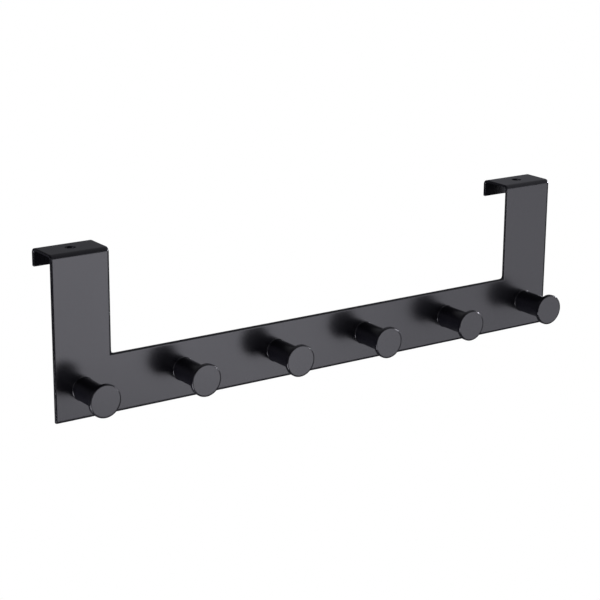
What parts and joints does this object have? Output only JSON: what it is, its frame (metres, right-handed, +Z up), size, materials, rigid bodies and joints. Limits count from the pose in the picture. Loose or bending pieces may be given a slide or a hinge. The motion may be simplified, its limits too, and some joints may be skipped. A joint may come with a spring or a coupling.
{
  "type": "over door hook",
  "caption": "Bent steel coat rack that hangs on the top edge of a door by two flanged arms, with round disc-headed pegs on a straight strip.",
  "frame": {"origin": "midway between the two flange screw holes, on the upper face of the flanges", "axes": "+X along the rack, to the right as seen from the room; +Y from the room into the door; +Z up, out of the screw holes"},
  "size_m": [0.38, 0.051, 0.102],
  "materials": {
    "black_sheet": "satin black powder coat",
    "black_peg": "satin black powder coat",
    "screw_steel": "bright zinc plating"
  },
  "bodies": {
    "root": {"rack_plate": "black_sheet", "peg_1": "black_peg", "peg_2": "black_peg", "peg_3": "black_peg", "peg_4": "black_peg", "peg_5": "black_peg", "peg_6": "black_peg", "peg_screws": "screw_steel"}
  },
  "joints": []
}
